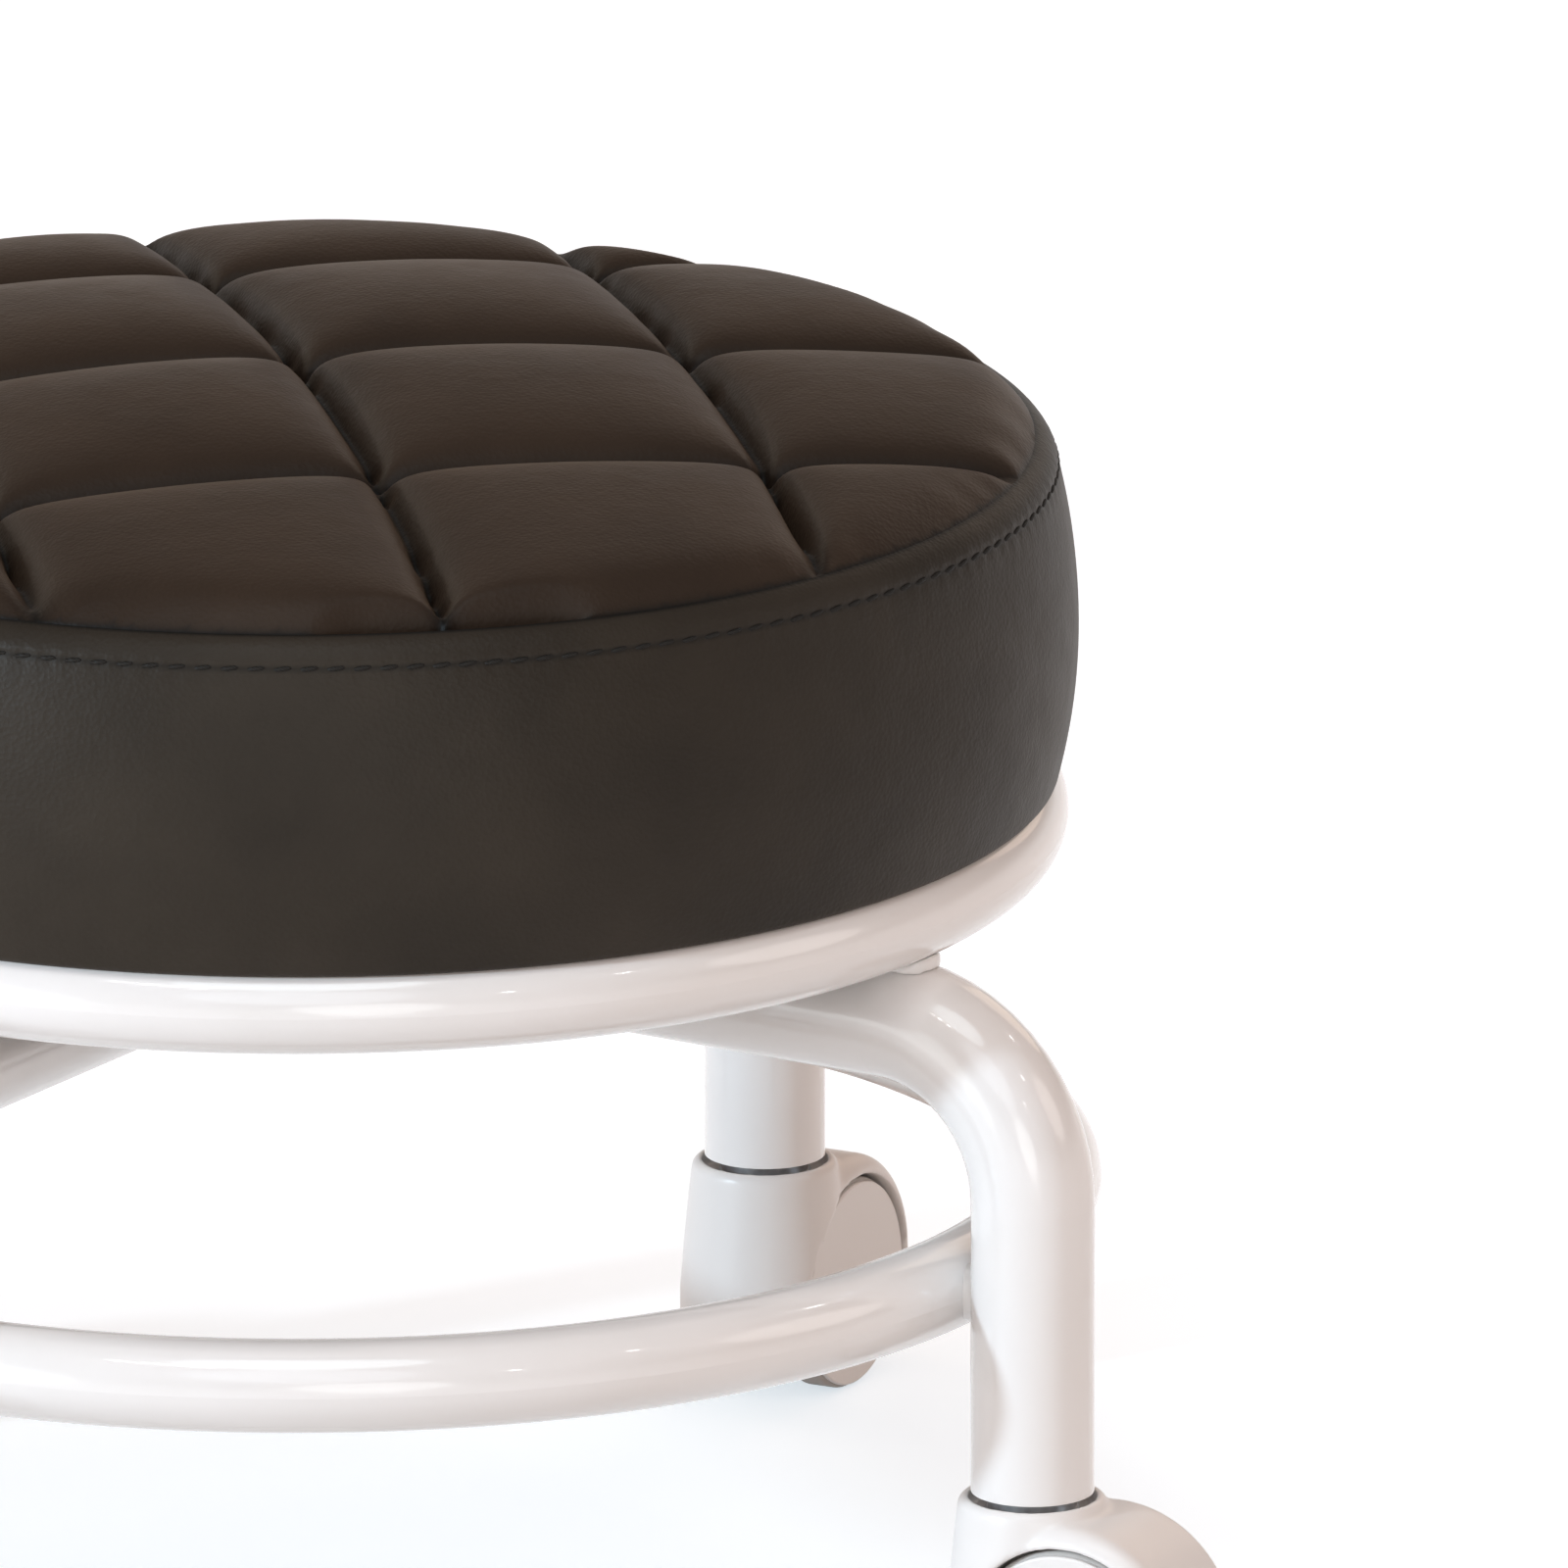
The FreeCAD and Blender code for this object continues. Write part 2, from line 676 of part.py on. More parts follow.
def add_stem(name, turn, base):
    """The steel stem screwed into the leg, with the plain pintle that the housing turns on."""
    stem = new_body(f"{name}_stem", turn, base)
    neck = clip_inner_radius - dim.running_gap
    tip = dim.axle_groove_depth
    turned(stem, "Revolution", [
        (ZERO, pintle_end),
        (dim.pintle_radius - tip, pintle_end),
        (dim.pintle_radius, pintle_end + tip),
        (dim.pintle_radius, clip_groove[0]),
        (neck, clip_groove[0]),
        (neck, clip_groove[1]),
        (dim.pintle_radius, clip_groove[1]),
        (dim.pintle_radius, collar_bottom),
        (dim.collar_radius, collar_bottom),
        (dim.collar_radius, leg_end),
        (dim.shank_radius, leg_end),
        (dim.shank_radius, leg_end + dim.shank_length - tip),
        (dim.shank_radius - tip, leg_end + dim.shank_length),
        (ZERO, leg_end + dim.shank_length),
    ])
    finish_part(stem)

    washer = new_body(f"{name}_thrust_washer", turn, base)
    turned(washer, "Revolution", [
        (bore_radius, recess_floor),
        (washer_radius, recess_floor),
        (washer_radius, collar_bottom),
        (bore_radius, collar_bottom),
    ])
    finish_part(washer)

    clip = new_body(f"{name}_stem_clip", turn, base)
    turned(clip, "Revolution", [
        (clip_inner_radius, clip_bottom),
        (clip_outer_radius, clip_bottom),
        (clip_outer_radius, clip_top),
        (clip_inner_radius, clip_top),
    ], CLIP_SWEEP)
    finish_part(clip)


def add_housing(name, turn, base):
    """Tower round the stem, hood over the wheels and the web between them."""
    housing = new_body(f"{name}_caster_housing", turn, base)
    turned(housing, "Revolution", [
        (ZERO, hood_floor),
        (tower_foot_radius, hood_floor),
        (tower_foot_radius, tower_foot_height),
        (tower_top_radius, rim_top - dim.tower_round),
        (tower_top_radius - dim.tower_round, rim_top, dim.tower_round, "left"),
        (ZERO, rim_top),
    ])
    hood = new_sketch(housing, "XY_Plane", dim.wheel_radius + dim.hood_lift)
    draw_axis(hood, (dim.caster_offset, -half_width), (dim.caster_offset, half_width))
    outer_x = dim.caster_offset + hood_outer
    draw_line(hood, [
        (dim.caster_offset, -half_width),
        (outer_x - dim.hood_round, -half_width),
        (outer_x, dim.hood_round - half_width, dim.hood_round, "left"),
        (outer_x, half_width - dim.hood_round),
        (outer_x - dim.hood_round, half_width, dim.hood_round, "left"),
        (dim.caster_offset, half_width),
    ])
    add(housing, "Revolution", hood, ReferenceAxis=(hood, ["Axis0"]), Angle=360)
    round_cut(housing, "XZ_Plane", dim.caster_offset, dim.wheel_radius, hood_inner)
    web = new_sketch(housing, "XZ_Plane")
    draw_circle(web, dim.caster_offset, dim.wheel_radius, hood_inner + dim.hood_wall / 2)
    add(housing, "Pad", web, Length=dim.web_thickness, Midplane=True)
    below = new_sketch(housing, "XY_Plane", hood_floor)
    draw_circle(below, dim.caster_offset, ZERO, hood_outer * 2)
    add(housing, "Pocket", below, Type="ThroughAll")
    turned(housing, "Groove", [
        (ZERO, pintle_end - dim.clip_thickness),
        (bore_radius, pintle_end - dim.clip_thickness),
        (bore_radius, bore_groove[0]),
        (clip_outer_radius + dim.clip_play * 3, bore_groove[0]),
        (clip_outer_radius + dim.clip_play * 3, bore_groove[1]),
        (bore_radius, bore_groove[1]),
        (bore_radius, recess_floor),
        (recess_radius, recess_floor),
        (recess_radius, leg_end),
        (ZERO, leg_end),
    ])
    round_cut(housing, "XZ_Plane", dim.caster_offset, dim.wheel_radius, dim.axle_radius)
    finish_part(housing)


def add_wheels(name, turn, base):
    """The axle and, on each side, a wheel snapped onto it and its tyre."""
    hub = (
        base[0] + dim.caster_offset * cosine(turn),
        base[1] + dim.caster_offset * sine(turn),
        dim.wheel_radius,
    )
    axle = new_body(f"{name}_axle", turn, hub, ((1, 0, 0), -90))
    half = [
        (dim.axle_radius, groove_start),
        (groove_floor, groove_start),
        (groove_floor, groove_end),
        (dim.axle_radius, groove_end),
        (dim.axle_radius, axle_half_length - dim.axle_groove_depth),
        (groove_floor, axle_half_length),
        (ZERO, axle_half_length),
    ]
    mirrored = [(x, -y) for x, y in reversed(half)]
    turned(axle, "Revolution", mirrored + half)
    finish_part(axle)

    for side, tilt in (("left", -90), ("right", 90)):
        wheel = new_body(f"{name}_{side}_wheel", turn, hub, ((1, 0, 0), tilt))
        turned(wheel, "Revolution", [
            (wheel_bore, inner_face),
            (dim.hub_radius, inner_face),
            (dim.hub_radius, inner_face + dim.dish_depth),
            (dish_radius, inner_face + dim.dish_depth),
            (dish_radius, inner_face),
            (tyre_inner_radius, inner_face),
            (tyre_inner_radius, disc_back),
            (disc_radius, disc_back),
            (disc_radius, outer_face - dim.disc_thickness / 2),
            (disc_radius - dim.disc_thickness / 2, outer_face, dim.disc_thickness / 2, "left"),
            (ZERO, outer_face),
            (ZERO, disc_back),
            (wheel_bore, disc_back),
            (wheel_bore, bead_middle + dim.snap_bead * 1.5),
            (wheel_bore - dim.snap_bead, bead_middle + dim.snap_bead / 2),
            (wheel_bore - dim.snap_bead, bead_middle - dim.snap_bead / 2),
            (wheel_bore, bead_middle - dim.snap_bead * 1.5),
        ])
        finish_part(wheel)

        tyre = new_body(f"{name}_{side}_tyre", turn, hub, ((1, 0, 0), tilt))
        tread_end = disc_back - dim.tyre_side_gap
        tread_edge = dim.wheel_radius - dim.tyre_round
        turned(tyre, "Revolution", [
            (tyre_inner_radius, inner_face),
            (tread_edge, inner_face),
            (dim.wheel_radius, inner_face + dim.tyre_round, dim.tyre_round, "left"),
            (dim.wheel_radius, tread_end - dim.tyre_round),
            (tread_edge, tread_end, dim.tyre_round, "left"),
            (tyre_inner_radius, tread_end),
        ])
        finish_part(tyre)


for corner, turn in corner_angles.items():
    stem_base = (
        leg_circle_radius * cosine(turn), leg_circle_radius * sine(turn), ZERO
    )
    add_insert(corner, turn, stem_base)
    add_stem(corner, turn, stem_base)
    add_housing(corner, turn + CASTER_TURN, stem_base)
    add_wheels(corner, turn + CASTER_TURN, stem_base)

doc.recompute()

faults = [
    item.Label for item in doc.Objects if {"Invalid", "Error"} & set(item.State)
]
for part in parts:
    if part.Shape.isNull() or not part.Shape.isValid() or not part.Shape.Solids:
        faults.append(part.Label)
if faults:
    raise RuntimeError(f"Not built: {sorted(set(faults))}")

os.makedirs("parts", exist_ok=True)
for part in parts:
    part.Shape.exportStep(f"parts/{part.Label}.step")
    print(part.Label, len(part.Shape.Solids), round(part.Shape.Volume, 1))
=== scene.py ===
import bpy
import json
import math
from mathutils import Matrix, Vector, noise


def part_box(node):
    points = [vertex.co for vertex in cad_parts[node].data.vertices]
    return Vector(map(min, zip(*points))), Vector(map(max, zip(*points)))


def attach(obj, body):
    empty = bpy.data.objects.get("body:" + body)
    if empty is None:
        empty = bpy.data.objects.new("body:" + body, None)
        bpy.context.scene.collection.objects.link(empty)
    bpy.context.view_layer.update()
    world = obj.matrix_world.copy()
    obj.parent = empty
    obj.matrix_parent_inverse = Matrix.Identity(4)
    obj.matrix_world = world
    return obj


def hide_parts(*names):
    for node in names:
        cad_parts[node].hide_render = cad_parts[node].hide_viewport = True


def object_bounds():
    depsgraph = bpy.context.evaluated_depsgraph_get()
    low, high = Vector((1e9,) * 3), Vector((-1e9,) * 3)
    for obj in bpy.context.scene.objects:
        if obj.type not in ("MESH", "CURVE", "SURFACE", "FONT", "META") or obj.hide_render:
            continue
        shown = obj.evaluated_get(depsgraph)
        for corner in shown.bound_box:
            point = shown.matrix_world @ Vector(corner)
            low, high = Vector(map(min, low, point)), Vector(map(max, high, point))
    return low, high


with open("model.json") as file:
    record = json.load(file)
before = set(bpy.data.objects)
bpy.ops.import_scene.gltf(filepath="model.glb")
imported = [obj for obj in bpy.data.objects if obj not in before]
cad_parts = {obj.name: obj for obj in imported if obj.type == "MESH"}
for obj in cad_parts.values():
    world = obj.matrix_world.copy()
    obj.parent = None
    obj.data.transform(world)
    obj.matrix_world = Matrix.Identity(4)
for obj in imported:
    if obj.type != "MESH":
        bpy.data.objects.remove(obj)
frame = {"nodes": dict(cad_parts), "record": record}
cadLow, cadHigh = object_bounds()
nodes = frame["nodes"]
corners = ("front_right", "back_right", "back_left", "front_left")
fullTurn = 2 * math.pi
mergeDistance = 0.00001


def deselectAll():
    if bpy.context.mode != "OBJECT":
        bpy.ops.object.mode_set(mode="OBJECT")
    bpy.ops.object.select_all(action="DESELECT")


def makeActive(piece):
    deselectAll()
    piece.select_set(True)
    bpy.context.view_layer.objects.active = piece


def editMode(kind="VERT"):
    bpy.ops.object.mode_set(mode="EDIT")
    bpy.ops.mesh.select_mode(type=kind)


def objectMode():
    bpy.ops.object.mode_set(mode="OBJECT")


def nameActive(name):
    piece = bpy.context.active_object
    piece.name = name
    piece.data.name = name
    return piece


def applyPlace(piece):
    makeActive(piece)
    bpy.ops.object.transform_apply(location=True, rotation=True, scale=True)


def applyModifier(piece, kind, **settings):
    makeActive(piece)
    bpy.ops.object.modifier_add(type=kind)
    modifier = piece.modifiers[-1]
    for key, value in settings.items():
        setattr(modifier, key, value)
    bpy.ops.object.modifier_apply(modifier=modifier.name)


def mergeAndFaceOut(piece):
    makeActive(piece)
    editMode()
    bpy.ops.mesh.select_all(action="SELECT")
    bpy.ops.mesh.remove_doubles(threshold=mergeDistance)
    bpy.ops.mesh.normals_make_consistent(inside=False)
    objectMode()


def smoothShade(piece, degrees):
    makeActive(piece)
    bpy.ops.object.shade_smooth_by_angle(angle=math.radians(degrees))


def addAttribute(piece, name, values):
    attribute = piece.data.attributes.new(name, "FLOAT", "POINT")
    attribute.data.foreach_set("value", values)


# Materials: each is a Principled shader with its own colour, roughness and bump nodes

def shaderOf(material):
    return material.node_tree.nodes["Principled BSDF"]


def newMaterial(name, **sockets):
    material = bpy.data.materials.new(name)
    material.use_nodes = True
    shader = shaderOf(material)
    for key, value in sockets.items():
        shader.inputs[key.replace("_", " ")].default_value = value
    return material


def addNode(material, kind, values=None, **settings):
    made = material.node_tree.nodes.new("ShaderNode" + kind)
    for key, value in settings.items():
        setattr(made, key, value)
    for key, value in (values or {}).items():
        made.inputs[key].default_value = value
    return made


def link(material, source, output, target, socket):
    material.node_tree.links.new(source.outputs[output], target.inputs[socket])


def addPattern(material, kind, values, stretch=(1, 1, 1), **settings):
    # a texture on the piece's own coordinates
    place = addNode(material, "TexCoord")
    mapping = addNode(material, "Mapping", {"Scale": stretch})
    pattern = addNode(material, kind, values, **settings)
    link(material, place, "Object", mapping, "Vector")
    link(material, mapping, "Vector", pattern, "Vector")
    return pattern


def addRamp(material, source, output, low, high, start=0.3, end=0.7):
    ramp = addNode(material, "ValToRGB")
    ramp.color_ramp.elements[0].position = start
    ramp.color_ramp.elements[1].position = end
    ramp.color_ramp.elements[0].color = (*low, 1)
    ramp.color_ramp.elements[1].color = (*high, 1)
    link(material, source, output, ramp, "Fac")
    return ramp


def addRange(material, source, output, low, high):
    spread = addNode(material, "MapRange", {"To Min": low, "To Max": high})
    link(material, source, output, spread, "Value")
    return spread


def addBump(material, source, output, strength, depth, after=None):
    bump = addNode(material, "Bump", {"Strength": strength, "Distance": depth})
    link(material, source, output, bump, "Height")
    if after:
        link(material, after, "Normal", bump, "Normal")
    return bump


def finishMaterial(material, colour, roughness, bump, output="Color"):
    shader = shaderOf(material)
    link(material, colour, output, shader, "Base Color")
    link(material, roughness, "Result", shader, "Roughness")
    link(material, bump, "Normal", shader, "Normal")
    return material


def plainFinish(name, low, high, rough, grainScale, grainDepth, **sockets):
    # a moulded, painted or rolled surface: slight colour drift, uneven gloss and fine bump
    material = newMaterial(name, **sockets)
    drift = addPattern(material, "TexNoise", {"Scale": 18.0, "Detail": 3.0})
    colour = addRamp(material, drift, "Fac", low, high)
    gloss = addPattern(material, "TexNoise", {"Scale": 70.0, "Detail": 4.0})
    roughness = addRange(material, gloss, "Fac", *rough)
    grain = addPattern(material, "TexNoise", {"Scale": grainScale, "Detail": 2.0})
    bump = addBump(material, grain, "Fac", 1.0, grainDepth)
    return finishMaterial(material, colour, roughness, bump)


leatherLook = {
    # sewnShade: colour of the painted shade in the seam grooves and along the stitch row
    "sewnShade": (0.1, 0.1, 0.1, 1),
    "grainScale": 950.0,
    "grainDepth": 0.00009,
    "creaseDepth": 0.0005,
    "sheenRoughness": 0.4,
    "sheenTint": (0.75, 0.5, 0.33, 1),
}


def leatherFinish(name, dark, light, rough, specular, sheen):
    look = leatherLook
    material = newMaterial(name, Specular_IOR_Level=specular, Sheen_Weight=sheen,
                           Sheen_Roughness=look["sheenRoughness"], Sheen_Tint=look["sheenTint"])
    drift = addPattern(material, "TexNoise", {"Scale": 26.0, "Detail": 5.0})
    tone = addRamp(material, drift, "Fac", dark, light)
    # painted shade: the sewn attribute darkens the colour towards sewnShade in the seam grooves and the
    # stitch row's dip
    sewn = addNode(material, "Attribute", attribute_name="sewn")
    shade = addNode(material, "Mix", data_type="RGBA", blend_type="MULTIPLY")
    shade.inputs["B"].default_value = look["sewnShade"]
    link(material, sewn, "Fac", shade, "Factor")
    link(material, tone, "Color", shade, "A")
    gloss = addPattern(material, "TexNoise", {"Scale": 120.0, "Detail": 6.0})
    roughness = addRange(material, gloss, "Fac", *rough)
    pebble = addPattern(material, "TexVoronoi", {"Scale": look["grainScale"], "Randomness": 1.0})
    crease = addPattern(material, "TexNoise", {"Scale": 150.0, "Detail": 8.0, "Roughness": 0.62})
    bump = addBump(material, pebble, "Distance", 0.8, look["grainDepth"])
    bump = addBump(material, crease, "Fac", 0.35, look["creaseDepth"], bump)
    return finishMaterial(material, shade, roughness, bump, "Result")


def plyFinish():
    material = newMaterial("birchPly")
    layers = addPattern(material, "TexWave", {"Scale": 95.0, "Distortion": 1.5, "Detail": 3.0},
                        bands_direction="Z")
    colour = addRamp(material, layers, "Fac", (0.33, 0.22, 0.12), (0.6, 0.45, 0.28))
    fibre = addPattern(material, "TexNoise", {"Scale": 60.0, "Detail": 6.0}, (8, 1, 1))
    roughness = addRange(material, fibre, "Fac", 0.6, 0.85)
    bump = addBump(material, fibre, "Fac", 0.4, 0.0002)
    return finishMaterial(material, colour, roughness, bump)


def clothFinish():
    # bonded lining cloth: small pressed dots in a felted web
    material = newMaterial("liningCloth")
    web = addPattern(material, "TexNoise", {"Scale": 420.0, "Detail": 6.0}, (1, 2.2, 1))
    colour = addRamp(material, web, "Fac", (0.012, 0.012, 0.013), (0.045, 0.045, 0.047))
    roughness = addRange(material, web, "Fac", 0.8, 0.98)
    dots = addPattern(material, "TexVoronoi", {"Scale": 480.0, "Randomness": 0.1})
    bump = addBump(material, dots, "Distance", 0.6, 0.00025)
    return finishMaterial(material, colour, roughness, bump)


def steelFinish():
    # zinc-plated steel: faint spangle and turned marks
    material = newMaterial("zincSteel", Metallic=1.0)
    spangle = addPattern(material, "TexVoronoi", {"Scale": 600.0})
    colour = addRamp(material, spangle, "Distance", (0.5, 0.5, 0.52), (0.72, 0.72, 0.73), 0.0, 1.0)
    marks = addPattern(material, "TexNoise", {"Scale": 300.0, "Detail": 4.0}, (1, 1, 9))
    roughness = addRange(material, marks, "Fac", 0.22, 0.42)
    bump = addBump(material, marks, "Fac", 0.25, 0.00008)
    return finishMaterial(material, colour, roughness, bump)


def threadFinish():
    # twisted sewing thread, as dark as the leather
    material = newMaterial("darkThread", Specular_IOR_Level=0.2)
    twist = addPattern(material, "TexWave", {"Scale": 900.0, "Distortion": 0.6}, bands_direction="DIAGONAL")
    colour = addRamp(material, twist, "Fac", (0.008, 0.007, 0.006), (0.02, 0.017, 0.014))
    roughness = addRange(material, twist, "Fac", 0.5, 0.75)
    bump = addBump(material, twist, "Fac", 0.6, 0.0001)
    return finishMaterial(material, colour, roughness, bump)


# The same leather twice: the top's copy is painted darker and browner, painted shade, and the band's cooler
# and greyer, painted cool light; their gloss and sheen differ too.
topLeatherShadedCopy = leatherFinish("topLeatherShadedCopy", (0.022, 0.0132, 0.0082), (0.033, 0.0205, 0.013),
                           (0.44, 0.58), 0.16, 0.11)
bandLeatherCoolLitCopy = leatherFinish("bandLeatherCoolLitCopy", (0.022, 0.0168, 0.012), (0.033, 0.0258, 0.0188),
                            (0.42, 0.54), 0.16, 0.02)
thread = threadFinish()
ply = plyFinish()
lining = clothFinish()
zinc = steelFinish()
whitePaint = plainFinish("whitePaint", (0.83, 0.82, 0.81), (0.87, 0.86, 0.855), (0.18, 0.26),
                         240.0, 0.000025, Coat_Weight=0.8, Coat_Roughness=0.04)
hoodPlastic = plainFinish("hoodPlastic", (0.82, 0.81, 0.80), (0.86, 0.85, 0.84),
                          (0.28, 0.38), 900.0, 0.00002)
wheelPlastic = plainFinish("wheelPlastic", (0.81, 0.80, 0.79), (0.85, 0.84, 0.83),
                           (0.26, 0.36), 900.0, 0.00002)
treadRubber = plainFinish("treadRubber", (0.50, 0.49, 0.475), (0.58, 0.57, 0.555),
                          (0.62, 0.8), 700.0, 0.00006)
insertPlastic = plainFinish("insertPlastic", (0.10, 0.10, 0.10), (0.15, 0.15, 0.15),
                            (0.45, 0.6), 800.0, 0.00005)
foamCore = plainFinish("foamCore", (0.7, 0.62, 0.44), (0.78, 0.71, 0.52), (0.85, 0.95), 900.0, 0.0003)

cadFinish = {
    "frame_paint": whitePaint,
    "zinc_steel": zinc,
    "caster_plastic": hoodPlastic,
    "wheel_plastic": wheelPlastic,
    "tread_rubber": treadRubber,
    "insert_plastic": insertPlastic,
    "plywood": ply,
    "lining_cloth": lining,
    "seat_foam": foamCore,
    "cushion_leather": bandLeatherCoolLitCopy,
}
for subpart in frame["record"]["subparts"]:
    nodes[subpart["node"]].material_slots[0].material = cadFinish[subpart["material_slot"]]
print("finishes:", len(cadFinish) + 2)


# Quilted top: a sheet cut round, shaped in sewn squares and swollen a little by pressure

panelLow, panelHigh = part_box("quilted_panel")
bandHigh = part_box("cover_band")[1]
boardLow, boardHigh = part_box("seat_board")
seamRadius = (panelHigh.x - panelLow.x) / 2
seamHeight = bandHigh.z

quilt = {
    "pitch": 0.080,          # between sewn lines
    "lineX": -0.002,         # the middle line each way
    "lineY": 0.0147,
    "sway": 0.0048,          # the lines along Y bow sideways by this much in the middle
    "squaresAcross": 4,
    "squareCells": 22,       # mesh cells across one square
    "crowding": 1.7,         # how much the cells crowd towards the sewn lines
    "crown": 0.0076,
    "crownPower": 1.6,
    "rise": 0.0122,          # of a pillow over its sewn lines
    "rimFall": 0.36,         # share of the rise that is lost towards the rim
    "shoulder": 0.0254,      # width of a pillow's rounded edge
    "rimShoulder": 0.013,
    "sharpness": 1.6,        # how squarely the rounded edges meet in a pillow's corners
    "onLine": 0.00005,       # what is this near a sewn line is sewn
    "onRim": 0.0005,
    "heldWidth": 0.012,      # the sewn lines hold the sheet this far out
    "heldShare": 0.9,
    "groove": 0.0034,        # the sewn lines are pulled in this much deeper
    "grooveWidth": 0.0016,
    "grooveFade": 0.008,     # the grooves run out this far from the rim
    "drop": 0.0004,          # the core ends this far above the board
    "inset": 0.0003,
    "sheetDepth": 0.02,      # of the blank that is cut round
    "cutterSides": 240,
    "cutJoin": 0.0007,
    "pressure": 2.5,
    "frames": 20,
    "quality": 8,
    "mass": 0.25,
    "stiffness": 30,
    "bending": 12.0,
    "mostMove": 0.0012,      # no point swells further
    "settling": 5,           # smoothing passes after it has swelled
    "rimZone": 0.0015,       # cut points this near the rim are put on it
    "rimJoin": 0.0018,
    "lineShade": 0.0022,     # width of the painted shade along the sewn lines, and how it ends
    "lineShadePower": 1.4,
    "rimShade": 0.0005,
}


def sewnLines(middle):
    return [middle + quilt["pitch"] * step for step in (-1, 0, 1)]


linesX = sewnLines(quilt["lineX"])
linesY = sewnLines(quilt["lineY"])


def lineGap(value, lines):
    return min(abs(value - line) for line in lines)


def lineBow(y):
    return quilt["sway"] * (1 - (y / seamRadius) ** 2)


def sewnGap(x, y):
    return min(lineGap(x - lineBow(y), linesX), lineGap(y, linesY))


def crowded(value, middle):
    # moves a grid line towards the nearest sewn line
    squares = (value - middle) / quilt["pitch"]
    whole = math.floor(squares)
    part = squares - whole
    share = (2 * min(part, 1 - part)) ** quilt["crowding"] / 2
    return middle + quilt["pitch"] * (whole + (share if part < 0.5 else 1 - share))


def pillowRise(x, y):
    reaches = (
        lineGap(x - lineBow(y), linesX) / quilt["shoulder"],
        lineGap(y, linesY) / quilt["shoulder"],
        max(seamRadius - math.hypot(x, y), 0) / quilt["rimShoulder"],
    )
    if min(reaches) < 1e-6:   # on a sewn line or the rim
        return 0.0
    shorter = sum(reach ** -quilt["sharpness"] for reach in reaches) ** (-1 / quilt["sharpness"])
    return math.sqrt(1 - (1 - min(shorter, 1.0)) ** 2)


def topHeight(x, y):
    reach = min(math.hypot(x, y) / seamRadius, 1.0)
    dome = quilt["crown"] * (1 - reach ** quilt["crownPower"])
    rise = quilt["rise"] * (1 - quilt["rimFall"] * reach ** 2)
    fromRim = min((1 - reach) * seamRadius / quilt["grooveFade"], 1.0)
    groove = quilt["groove"] * fromRim * math.exp(-sewnGap(x, y) / quilt["grooveWidth"])
    return seamHeight + dome + rise * pillowRise(x, y) - groove


def evenRim(sheet):
    # joins the slivers that the cut leaves along the rim and puts the rim back on its circle
    nearest = seamRadius - quilt["rimZone"]
    for vertex in sheet.data.vertices:
        vertex.select = math.hypot(vertex.co.x, vertex.co.y) > nearest
    editMode()
    bpy.ops.mesh.remove_doubles(threshold=quilt["rimJoin"])
    objectMode()
    for vertex in sheet.data.vertices:
        radius = math.hypot(vertex.co.x, vertex.co.y)
        if radius > nearest:
            vertex.co.x *= seamRadius / radius
            vertex.co.y *= seamRadius / radius


def cutRoundSheet():
    cells = quilt["squaresAcross"] * quilt["squareCells"]
    deselectAll()
    bpy.ops.mesh.primitive_grid_add(
        x_subdivisions=cells, y_subdivisions=cells, size=quilt["squaresAcross"] * quilt["pitch"],
        location=(quilt["lineX"], quilt["lineY"], 0))
    sheet = nameActive("quiltedTop")
    applyPlace(sheet)
    for vertex in sheet.data.vertices:
        vertex.co.y = crowded(vertex.co.y, quilt["lineY"])
        vertex.co.x = crowded(vertex.co.x, quilt["lineX"]) + lineBow(vertex.co.y)
    applyModifier(sheet, "SOLIDIFY", thickness=quilt["sheetDepth"], offset=-1)
    deselectAll()
    bpy.ops.mesh.primitive_cylinder_add(vertices=quilt["cutterSides"], radius=seamRadius,
                                        depth=10 * quilt["sheetDepth"])
    cutter = nameActive("roundCutter")
    applyModifier(sheet, "BOOLEAN", operation="INTERSECT", solver="EXACT", object=cutter)
    bpy.data.objects.remove(cutter)
    makeActive(sheet)
    for polygon in sheet.data.polygons:
        polygon.select = polygon.normal.z < -0.9   # the underside
    editMode("FACE")
    bpy.ops.mesh.dissolve_faces()
    bpy.ops.mesh.select_all(action="SELECT")
    bpy.ops.mesh.remove_doubles(threshold=quilt["cutJoin"])
    bpy.ops.mesh.select_all(action="DESELECT")
    objectMode()
    evenRim(sheet)
    return sheet


def swell(sheet):
    start = [vertex.co.copy() for vertex in sheet.data.vertices]
    makeActive(sheet)
    bpy.ops.object.modifier_add(type="CLOTH")
    cloth = sheet.modifiers[-1]
    cloth.settings.quality = quilt["quality"]
    cloth.settings.mass = quilt["mass"]
    cloth.settings.tension_stiffness = quilt["stiffness"]
    cloth.settings.compression_stiffness = quilt["stiffness"]
    cloth.settings.bending_stiffness = quilt["bending"]
    cloth.settings.vertex_group_mass = "heldDown"
    cloth.settings.use_pressure = True
    cloth.settings.uniform_pressure_force = quilt["pressure"]
    cloth.settings.effector_weights.gravity = 0
    cloth.collision_settings.use_collision = False
    cloth.point_cache.frame_start = 1
    cloth.point_cache.frame_end = quilt["frames"]
    for number in range(1, quilt["frames"] + 1):
        bpy.context.scene.frame_set(number)
    bpy.ops.object.modifier_apply(modifier=cloth.name)
    bpy.context.scene.frame_set(1)
    largest = 0
    for vertex, before in zip(sheet.data.vertices, start):
        move = vertex.co - before
        largest = max(largest, move.length)
        if move.length > quilt["mostMove"]:
            vertex.co = before + move * (quilt["mostMove"] / move.length)
    print("quilted top swelled by up to", round(largest * 1000, 2), "mm before the cap")


